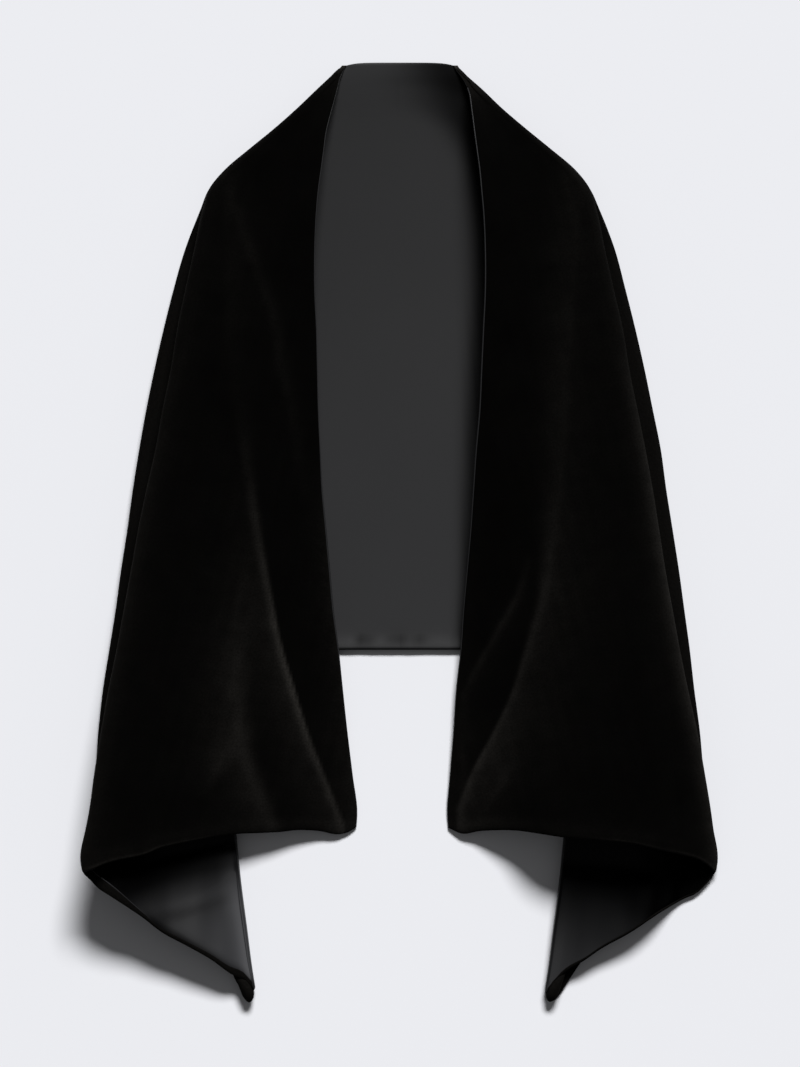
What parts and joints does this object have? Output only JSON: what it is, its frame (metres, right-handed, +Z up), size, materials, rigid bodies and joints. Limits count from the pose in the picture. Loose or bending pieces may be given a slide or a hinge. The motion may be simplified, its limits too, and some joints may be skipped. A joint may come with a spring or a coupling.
{
  "type": "evening stole",
  "caption": "Velvet evening stole lined with satin, laid flat as worn: its ends come forward over the shoulders as fronts and turn under into pointed tails that show the lining.",
  "frame": {"origin": "middle of the laid-out stole's box, on the plane it lies on", "axes": "+Z up out of the surface, +Y from the hem to the neck edge, +X to the right seen from above with the neck edge away"},
  "size_m": [0.7046, 1.0362, 0.0688],
  "materials": {
    "velvet": "black cut-pile velvet",
    "satin": "charcoal satin lining"
  },
  "bodies": {
    "root": {"back_velvet": "velvet", "back_lining": "satin", "front_left_velvet": "velvet", "front_left_lining": "satin", "front_right_velvet": "velvet", "front_right_lining": "satin", "tail_left_velvet": "velvet", "tail_left_lining": "satin", "tail_right_velvet": "velvet", "tail_right_lining": "satin", "underfold_left_velvet": "velvet", "underfold_left_lining": "satin", "underfold_right_velvet": "velvet", "underfold_right_lining": "satin"}
  },
  "joints": []
}
